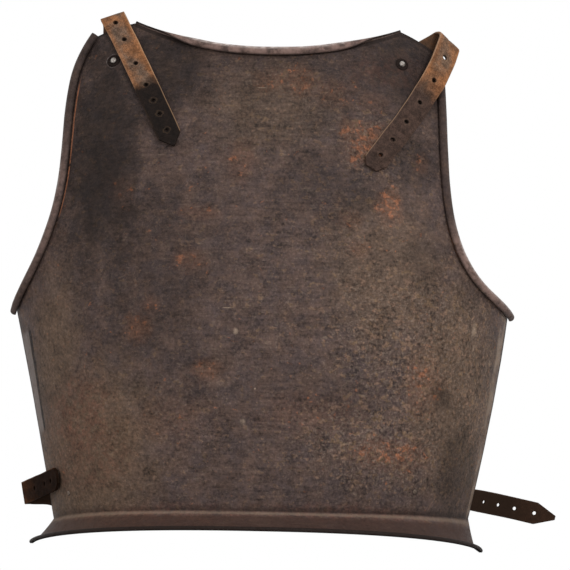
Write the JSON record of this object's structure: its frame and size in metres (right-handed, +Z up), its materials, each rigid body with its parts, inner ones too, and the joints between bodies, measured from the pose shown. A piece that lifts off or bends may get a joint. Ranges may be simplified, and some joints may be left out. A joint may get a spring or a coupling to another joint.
{
  "type": "cuirass back plate",
  "caption": "Hollow iron back plate with rolled neck and arm edges, a flared waist flange with a turned hem, and punched leather straps riveted inside the shoulders and waist.",
  "frame": {"origin": "at the level of the turned hem, on the middle line of the plate, in the plane that touches the fullest point of its back", "axes": "+Z up along the back, +X to the viewer's right when looking at the outside, -Y out of the outside face, +Y towards the wearer"},
  "size_m": [0.4407, 0.1529, 0.4155],
  "materials": {
    "patinated_iron": "dark brown rust patina, matt, worn to grey on the rolled edges",
    "rivet_iron": "worn grey rivet heads",
    "washer_iron": "dark patina",
    "shoulder_leather": "worn tan-brown, dark and cracked towards the tips",
    "waist_leather": "nearly black, reddish brown on the edges"
  },
  "bodies": {
    "plate": {"back_plate": "patinated_iron", "left_shoulder_rivet": "rivet_iron", "right_shoulder_rivet": "rivet_iron", "left_waist_rivet": "rivet_iron", "right_waist_rivet": "rivet_iron", "left_shoulder_washer": "washer_iron", "right_shoulder_washer": "washer_iron", "left_shoulder_back_washer": "washer_iron", "right_shoulder_back_washer": "washer_iron", "left_waist_back_washer": "washer_iron", "right_waist_back_washer": "washer_iron"},
    "left_shoulder_root": {"left_shoulder_strap_root": "shoulder_leather"},
    "left_shoulder_end": {"left_shoulder_strap_end": "shoulder_leather"},
    "right_shoulder_root": {"right_shoulder_strap_root": "shoulder_leather"},
    "right_shoulder_end": {"right_shoulder_strap_end": "shoulder_leather"},
    "left_waist_root": {"left_waist_strap_root": "waist_leather"},
    "left_waist_end": {"left_waist_strap_end": "waist_leather"},
    "right_waist_root": {"right_waist_strap_root": "waist_leather"},
    "right_waist_end": {"right_waist_strap_end": "waist_leather"}
  },
  "joints": [
    {"name": "left_shoulder_swivel", "type": "hinge", "parent": "plate", "child": "left_shoulder_root", "pos_m": [-0.121, 0.0348, 0.372], "axis": [-0.3536, -0.9049, 0.237], "range_deg": [-2, 5]},
    {"name": "left_shoulder_lift", "type": "hinge", "parent": "left_shoulder_root", "child": "left_shoulder_end", "pos_m": [-0.12394, 0.04727, 0.41318], "axis": [-0.9123, 0.3418, -0.2257], "range_deg": [0, 160]},
    {"name": "right_shoulder_swivel", "type": "hinge", "parent": "plate", "child": "right_shoulder_root", "pos_m": [0.1055, 0.03318, 0.3735], "axis": [0.3545, -0.8995, 0.2555], "range_deg": [-5, 2]},
    {"name": "right_shoulder_lift", "type": "hinge", "parent": "right_shoulder_root", "child": "right_shoulder_end", "pos_m": [0.14162, 0.06149, 0.40364], "axis": [-0.7308, -0.3579, 0.5813], "range_deg": [0, 160]},
    {"name": "left_waist_swivel", "type": "hinge", "parent": "plate", "child": "left_waist_root", "pos_m": [-0.147, 0.07733, 0.035], "axis": [-0.8099, -0.5346, -0.2414], "range_deg": [-2, 2]},
    {"name": "left_waist_unfold", "type": "hinge", "parent": "left_waist_root", "child": "left_waist_end", "pos_m": [-0.1876, 0.14268, 0.04223], "axis": [0.1806, 0.1896, -0.9651], "range_deg": [0, 150]},
    {"name": "right_waist_swivel", "type": "hinge", "parent": "plate", "child": "right_waist_root", "pos_m": [0.119, 0.04571, 0.0375], "axis": [0.5378, -0.807, -0.2438], "range_deg": [0, 20]},
    {"name": "right_waist_bend", "type": "hinge", "parent": "right_waist_root", "child": "right_waist_end", "pos_m": [0.18619, 0.14011, 0.04162], "axis": [0.2157, -0.1833, 0.9591], "range_deg": [-40, 60]}
  ]
}
